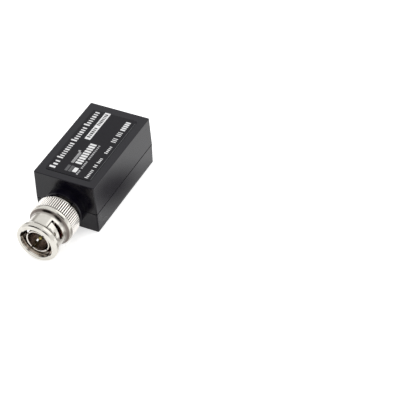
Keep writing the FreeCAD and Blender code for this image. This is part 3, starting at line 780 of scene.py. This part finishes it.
@dataclass
class Label:
    """The printed film on the roof, with rows of plain blocks in place of words."""

    ink_thickness: float = 0.02 * MM
    seed: int = 7
    rows: tuple[Row, ...] = (
        Row(
            -5.15,
            1.5,
            ((-14.8, -10.5, 3), (-9.9, -1.7, 8), (-1.1, 6.5, 7), (7.1, 14.8, 7)),
            capital=1.35,
            fill=0.62,
        ),
        Row(-1.6, 1.98, ((1.45, 15.3, 1),)),
        Row(-2.1, 1.05, ((2.2, 7.6, 6), (8.6, 14.7, 8)), BLACK_INK, 1.15, 0.7, layer=2),
        Row(-0.95, 0.95, ((-10.2, -4.9, 10),), GREY_INK, fill=0.8),
        Row(-1.6, 0.8, ((-4.9, -4.0, 1),), GREY_INK, fill=0.8),
        Row(1.65, 2.2, ((-10.1, 0.3, 9),), fill=0.78),
        Row(2.9, 0.62, ((-14.7, -12.4, 3), (-11.7, -7.9, 5), (-7.1, 0.3, 9)), GREY_INK, fill=0.75),
        Row(-1.05, 0.95, ((-14.2, -11.4, 1),), DIM_INK),
        Row(0.2, 0.95, ((-14.2, -11.4, 1),), DIM_INK),
        Row(1.9, 1.4, ((-13.9, -11.8, 1),)),
        Row(
            6.6,
            0.85,
            ((-15.1, -10.7, 6), (-7.5, -4.8, 4), (-2.6, 1.3, 5)),
            capital=1.3,
            fill=0.62,
        ),
        Row(6.6, 1.1, ((-9.7, -8.1, 2),), fill=0.62),
        Row(6.45, 1.65, ((3.0, 5.4, 3), (6.2, 8.6, 3)), fill=0.55),
        Row(6.45, 1.65, ((9.2, 13.9, 5),), fill=0.75),
        Row(7.85, 0.14, ((-15.3, 14.1, 1),), DIM_INK),
    )

    def word_tree(self, material: bpy.types.Material) -> ShapeSheet:
        """Makes the tree for a word: blocks of varied width along Y, which stand on a base line.

        Args:
            material: The ink.

        Returns:
            The tree.
        """
        measures = ("Pitch", "Height", "Thickness", "Fill", "Capital")
        inputs = {**dict.fromkeys(measures, float), "Blocks": int, "Seed": int}
        sheet = ShapeSheet("print_word", inputs)
        given = sheet.given
        step = sheet.join(y=given["Pitch"])
        line = sheet.add("GeometryNodeMeshLine", {"Count": given["Blocks"], "Offset": step})
        size = sheet.join(given["Height"], given["Pitch"], given["Thickness"])
        block = sheet.add("GeometryNodeMeshCube", {"Size": size})
        rise = sheet.join(sheet.math("MULTIPLY", given["Height"], -0.5))
        inputs = {"Geometry": block.outputs[0], "Translation": rise}
        standing = sheet.add("GeometryNodeTransform", inputs)
        low = sheet.math("MULTIPLY", given["Fill"], given["Fill"])
        inputs = {RANDOM_LOW: low, RANDOM_HIGH: given["Fill"], "Seed": given["Seed"]}
        width = sheet.add("FunctionNodeRandomValue", inputs, data_type="FLOAT").outputs[RANDOM_RESULT]
        is_first = sheet.math("LESS_THAN", sheet.add("GeometryNodeInputIndex").outputs[0], 0.5)
        extra = sheet.math("MULTIPLY", is_first, sheet.math("SUBTRACT", given["Capital"], 1.0))
        scale = sheet.join(sheet.math("ADD", extra, 1.0), width, 1.0)
        sheet.end(line.outputs[0], standing.outputs[0], material, Scale=scale)
        return sheet

    def print_row(self, tree: ShapeSheet, row: Row, seed: int, top: float) -> list[bpy.types.Mesh]:
        """Prints one row.

        Args:
            tree: The tree that makes a word.
            row: The row.
            seed: The seed for the widths of its blocks.
            top: The height of the film's face.

        Returns:
            One mesh for each word, in its place.
        """
        meshes = []
        sunk_and_proud = 2 * self.ink_thickness * row.layer
        for start, end, blocks in row.words:
            pitch = (end - start) * MM / blocks
            values = {
                "Pitch": pitch,
                "Height": row.height * MM,
                "Thickness": sunk_and_proud,
                "Blocks": blocks,
                "Fill": row.fill,
                "Capital": row.capital,
                "Seed": seed,
            }
            place = Vector((row.base * MM, start * MM + pitch / 2, top))
            meshes.append(tree.mesh("word", values, place))
        return meshes

    def build(self, wardrobe: Wardrobe) -> None:
        """Dresses the film and prints its rows, one piece for each ink.

        Args:
            wardrobe: The finishes.
        """
        wardrobe.dress(LABEL_FILM, "label")
        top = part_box("label")[1].z
        for ink in (WHITE_INK, GREY_INK, DIM_INK, BLACK_INK):
            material = wardrobe.material(ink)
            tree = self.word_tree(material)
            meshes = []
            for number, row in enumerate(self.rows):
                if row.ink is ink:
                    meshes += self.print_row(tree, row, self.seed + number, top)
            add_piece(f"label_{ink.name}", meshes, material, "case")


@dataclass
class Plug:
    """The bayonet plug: its turned body, contacts, washers and coupling nut."""

    washer_keep: float = 0.4

    def build(self, wardrobe: Wardrobe) -> None:
        """Dresses the plug's pieces and gives it its sprung washer.

        Args:
            wardrobe: The finishes.
        """
        wardrobe.dress(NUT_NICKEL, "coupling_nut")
        wardrobe.dress(BODY_NICKEL, "mounting_barrel", "plug_core")
        wardrobe.dress(TUBE_NICKEL, "contact_tube")
        wardrobe.dress(PIN_GOLD, "centre_pin")
        wardrobe.dress(INSULATOR_WHITE, "insulator")
        wardrobe.dress(GASKET_RUBBER, "gasket")
        wardrobe.dress(WASHER_BRASS, "thrust_washer")
        add_spring(wardrobe, "wave_washer", "wave_spring")


@dataclass
class Board:
    """The circuit board and what is soldered to it, with real turns of wire on the transformer."""

    wire_radius: float = 0.18 * MM
    wire_sides: int = 10
    turns: int = 9
    turn_corner: float = 0.25 * MM
    winding_span: float = math.radians(128.0)
    winding_middles: tuple[float, ...] = (0.0, math.pi)
    core_wall: float = 1.3 * MM

    def winding_tree(self, material: bpy.types.Material) -> ShapeSheet:
        """Makes the tree for turns of wire round a share of a ring core.

        Args:
            material: The wire's material.

        Returns:
            The tree.
        """
        measures = ("Ring", "Width", "Height", "Wire", "Start", "Step")
        sheet = ShapeSheet("winding", {**dict.fromkeys(measures, float), "Turns": int})
        given = sheet.given
        sides = {"Width": given["Width"], "Height": given["Height"]}
        loop = sheet.add("GeometryNodeCurvePrimitiveQuadrilateral", sides)
        inputs = {"Curve": loop.outputs[0], "Radius": self.turn_corner}
        soft = sheet.add("GeometryNodeFilletCurve", inputs)
        thread = {"Resolution": self.wire_sides, "Radius": given["Wire"]}
        profile = sheet.add("GeometryNodeCurvePrimitiveCircle", thread)
        inputs = {"Curve": soft.outputs[0], "Profile Curve": profile.outputs[0]}
        turn = sheet.add("GeometryNodeCurveToMesh", inputs)
        index = sheet.add("GeometryNodeInputIndex").outputs[0]
        angle = sheet.math("ADD", sheet.math("MULTIPLY", index, given["Step"]), given["Start"])
        x = sheet.math("MULTIPLY", sheet.math("COSINE", angle), given["Ring"])
        y = sheet.math("MULTIPLY", sheet.math("SINE", angle), given["Ring"])
        inputs = {"Count": given["Turns"], "Position": sheet.join(x, y)}
        points = sheet.add("GeometryNodePoints", inputs)
        upright = sheet.join(x=math.pi / 2, z=angle)
        rotation = sheet.add("FunctionNodeEulerToRotation", {0: upright}).outputs[0]
        sheet.end(points.outputs[0], turn.outputs[0], material, Rotation=rotation)
        return sheet

    def wind(self, wardrobe: Wardrobe) -> None:
        """Winds the transformer's two windings.

        Args:
            wardrobe: The finishes.
        """
        low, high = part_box("choke_core")
        centre = (low + high) / 2
        outer = (high.x - low.x) / 2
        copper = wardrobe.material(WIRE_COPPER)
        tree = self.winding_tree(copper)
        for number, middle in enumerate(self.winding_middles, start=1):
            values = {
                "Ring": outer - self.core_wall / 2,
                "Width": self.core_wall + 2 * self.wire_radius,
                "Height": high.z - low.z + 2 * self.wire_radius,
                "Wire": self.wire_radius,
                "Start": middle - self.winding_span / 2,
                "Step": self.winding_span / (self.turns - 1),
                "Turns": self.turns,
            }
            mesh = tree.mesh(f"turns_{number}", values, centre)
            piece = add_piece(f"winding_turns_{number}", [mesh], copper, "case")
            piece.data.shade_smooth()
            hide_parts(f"choke_winding_{number}")

    def build(self, wardrobe: Wardrobe) -> None:
        """Dresses the board's parts and winds the transformer.

        Args:
            wardrobe: The finishes.
        """
        wardrobe.dress(SOLDER_MASK, "circuit_board")
        wardrobe.dress(FERRITE, "choke_core", "power_inductor")
        wardrobe.dress(CHIP_EPOXY, "amplifier_chip", "regulator_chip", "chip_resistors")
        wardrobe.dress(CHIP_EPOXY, "surge_diode_1", "surge_diode_2")
        wardrobe.dress(CERAMIC, "chip_capacitors")
        wardrobe.dress(CAN_ALUMINIUM, "filter_capacitor_1", "filter_capacitor_2")
        self.wind(wardrobe)


@dataclass
class Terminal:
    """The push-in terminal in the rear wall."""

    poles: tuple[int, ...] = (1, 2, 3, 4)
    leaf_keep: float = 0.43

    def build(self, wardrobe: Wardrobe) -> None:
        """Dresses the block, its buttons and its contacts, and gives it its leaf springs.

        Args:
            wardrobe: The finishes.
        """
        wardrobe.dress(TERMINAL_PLASTIC, "terminal_block")
        for pole in self.poles:
            wardrobe.dress(BUTTON_PLASTIC, f"release_button_{pole}")
            wardrobe.dress(CONTACT_TIN, f"clamp_contact_{pole}")
            spring, leaf = f"clamp_spring_{pole}", f"clamp_leaf_{pole}"
            add_spring(wardrobe, spring, leaf)


# Studio


@dataclass(frozen=True)
class Lamp:
    """A soft square lamp: where it hangs, its size and power, and whether the metal mirrors it."""

    name: str
    place: Place
    size: float
    power: float
    mirrored: bool = False


@dataclass(frozen=True)
class Card:
    """A dark or grey card that only reflections show.

    It faces a point, and one straight below lays it flat. It is solid up to a share of the way from
    its middle to its edge, and fades out from there.
    """

    name: str
    place: Place
    size: Span
    shade: Colour
    facing: Place
    solid: float


@dataclass
class Studio:
    """Floor, white surroundings, lamps, cards and camera.

    The lens and its sensor are in the camera's own millimetres.
    """

    middle: Place = (0.0, -0.01, 0.008)
    target: Place = (0.03457, 0.0041, 0.00334)
    camera_place: Place = (0.21742, -0.33102, 0.34437)
    roll: float = math.radians(-3.776)
    lens: float = 148.06
    sensor: float = 36.0
    floor_size: float = 3.0
    floor_paint: Colour = (0.9, 0.9, 0.9)
    floor_lift: float = 0.57
    floor_mirror_lift: float = 0.46
    room_light: float = 0.55
    lamps: tuple[Lamp, ...] = (
        Lamp("lamp_top", (-0.1, 0.05, 0.75), 0.6, 2.2),
        Lamp("lamp_back", (0.45, 0.35, 0.35), 0.35, 0.6),
        Lamp("lamp_shine", (0.24, 0.33, 0.34), 0.34, 0.2, mirrored=True),
    )
    cards: tuple[Card, ...] = (
        Card(
            "card_camera",
            place=(0.17, -0.19, 0.2),
            size=(0.38, 0.28),
            shade=(0.02, 0.016, 0.014),
            facing=(0.0, -0.03, 0.0076),
            solid=0.7,
        ),
        Card(
            "card_front",
            place=(-0.1, -0.19, 0.17),
            size=(0.3, 0.26),
            shade=(0.02, 0.016, 0.014),
            facing=(0.0, -0.029, 0.013),
            solid=0.6,
        ),
        # Painted shadow: a grey card on the floor beside the case, which only reflections show, so the
        # case mirrors a shaded floor
        Card(
            "card_floor_shadow",
            place=(0.0165, 0.001, 0.0008),
            size=(0.024, 0.035),
            shade=(0.25, 0.24, 0.25),
            facing=(0.0165, 0.001, -1.0),
            solid=0.1,
        ),
        Card(
            "card_left",
            place=(-0.095, 0.05, 0.022),
            size=(0.1, 0.07),
            shade=(0.5, 0.49, 0.48),
            facing=(0.0, -0.026, 0.012),
            solid=0.5,
        ),
        # Painted shadow: a grey card on the floor beside the nut, which only reflections show, so the
        # metal mirrors the nut's shadow
        Card(
            "card_nut_shadow",
            place=(0.0145, -0.0235, 0.0006),
            size=(0.024, 0.024),
            shade=(0.45, 0.43, 0.42),
            facing=(0.0145, -0.0235, -1.0),
            solid=0.2,
        ),
    )

    def aim(self, item: bpy.types.Object, point: Place, roll: float = 0.0) -> None:
        """Turns an object to look at a point, which lamps and cameras do along their -Z.

        Args:
            item: The lamp, card or camera, in its place.
            point: Where it looks.
            roll: How far it turns about its line of sight.
        """
        sight = Vector(point) - item.location
        item.rotation_mode = "QUATERNION"
        turned = sight.to_track_quat("-Z", "Y") @ Quaternion((0.0, 0.0, 1.0), roll)
        item.rotation_quaternion = turned

    def set_camera(self) -> None:
        """Sets the camera where the photograph was taken from."""
        camera = bpy.data.cameras.new("camera")
        camera.lens = self.lens
        camera.sensor_width = self.sensor
        item = bpy.data.objects.new("camera", camera)
        item.location = self.camera_place
        bpy.context.scene.collection.objects.link(item)
        self.aim(item, self.target, self.roll)
        bpy.context.scene.camera = item

    def seen(self, sheet: Sheet) -> Socket:
        """Tells rays that show the background from rays that light the part.

        Args:
            sheet: The tree that asks.

        Returns:
            1 for camera, glossy and transmission rays, and 0 for the rest.
        """
        path = sheet.add("ShaderNodeLightPath").outputs
        pair = sheet.math("MAXIMUM", path["Is Camera Ray"], path["Is Glossy Ray"])
        return sheet.math("MAXIMUM", pair, path["Is Transmission Ray"])

    def make_room(self) -> None:
        """Makes the white surroundings, with plain light for the part."""
        world = bpy.data.worlds.new("room")
        world.use_nodes = True
        world.node_tree.nodes.clear()
        sheet = Sheet(world.node_tree)
        light = sheet.add("ShaderNodeBackground", {"Color": WHITE, "Strength": self.room_light})
        white = sheet.add("ShaderNodeBackground", {"Color": WHITE, "Strength": 1.0})
        inputs = {0: self.seen(sheet), 1: light.outputs[0], 2: white.outputs[0]}
        mixed = sheet.add("ShaderNodeMixShader", inputs).outputs[0]
        sheet.add("ShaderNodeOutputWorld", {0: mixed})
        bpy.context.scene.world = world

    def add_flat(
        self, name: str, size: Span, place: Place, material: bpy.types.Material
    ) -> bpy.types.Object:
        """Makes a flat rectangle.

        Args:
            name: Its name.
            size: Its two sides.
            place: Its centre.
            material: What it wears.

        Returns:
            The object.
        """
        x, y = size[0] / 2, size[1] / 2
        corners = [(-x, -y, 0.0), (x, -y, 0.0), (x, y, 0.0), (-x, y, 0.0)]
        mesh = bpy.data.meshes.new(name)
        mesh.from_pydata(corners, [], [(0, 1, 2, 3)])
        mesh.materials.append(material)
        item = bpy.data.objects.new(name, mesh)
        item.location = place
        bpy.context.scene.collection.objects.link(item)
        return item

    def lay_floor(self) -> None:
        """Lays a pale floor that stays white round the part's soft shadow."""
        sheet = FinishSheet("floor_white")
        paint = sheet.add("ShaderNodeBsdfDiffuse", {"Color": (*self.floor_paint, 1.0)}).outputs[0]
        path = sheet.add("ShaderNodeLightPath").outputs
        shown = sheet.math("MULTIPLY", path["Is Camera Ray"], self.floor_lift)
        mirrored = sheet.math("MULTIPLY", path["Is Glossy Ray"], self.floor_mirror_lift)
        lift = sheet.math("ADD", shown, mirrored)
        glow = sheet.add("ShaderNodeEmission", {"Strength": lift}).outputs[0]
        whole = sheet.add("ShaderNodeAddShader", {0: paint, 1: glow}).outputs[0]
        size = (self.floor_size, self.floor_size)
        self.add_flat("floor", size, (0.0, 0.0, 0.0), sheet.end(whole))

    def card_material(self, card: Card) -> bpy.types.Material:
        """Makes a card's material, which fades out towards the card's edge.

        Args:
            card: The card.

        Returns:
            The material.
        """
        sheet = FinishSheet(card.name)
        glow = {"Color": (*card.shade, 1.0), "Strength": 1.0}
        shade = sheet.add("ShaderNodeEmission", glow).outputs[0]
        clear = sheet.add("ShaderNodeBsdfTransparent").outputs[0]
        reach = sheet.length(sheet.scaled_point((2.0 / card.size[0], 2.0 / card.size[1], 0.0)))
        share = sheet.ramp(reach, (card.solid, 1.0), (1.0, 0.0), Course.SMOOTH)
        return sheet.end(sheet.add("ShaderNodeMixShader", {0: share, 1: clear, 2: shade}).outputs[0])

    def hang_cards(self) -> None:
        """Hangs the cards that the metal and the plastic mirror."""
        for card in self.cards:
            item = self.add_flat(card.name, card.size, card.place, self.card_material(card))
            self.aim(item, card.facing)
            item.visible_camera = False
            item.visible_diffuse = False
            item.visible_transmission = False
            item.visible_shadow = False

    def hang_lamps(self) -> None:
        """Hangs the soft lamps."""
        for lamp in self.lamps:
            light = bpy.data.lights.new(lamp.name, "AREA")
            light.energy = lamp.power
            light.size = lamp.size
            item = bpy.data.objects.new(lamp.name, light)
            item.location = lamp.place
            item.visible_glossy = lamp.mirrored
            bpy.context.scene.collection.objects.link(item)
            self.aim(item, self.middle)

    def build(self) -> None:
        """Sets up the whole studio."""
        bpy.context.scene.view_settings.view_transform = "Standard"
        self.set_camera()
        self.make_room()
        self.lay_floor()
        self.hang_cards()
        self.hang_lamps()
        LOG.info("studio is set")


def main() -> None:
    """Builds the part and the studio round it."""
    logging.basicConfig(level=logging.INFO, format="%(name)s: %(message)s")
    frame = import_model()
    Studio().build()
    wardrobe = Wardrobe({name: bpy.data.objects[name] for name in frame["nodes"]})
    for part in (Housing(), Label(), Plug(), Board(), Terminal()):
        part.build(wardrobe)


if __name__ == "__main__":
    main()
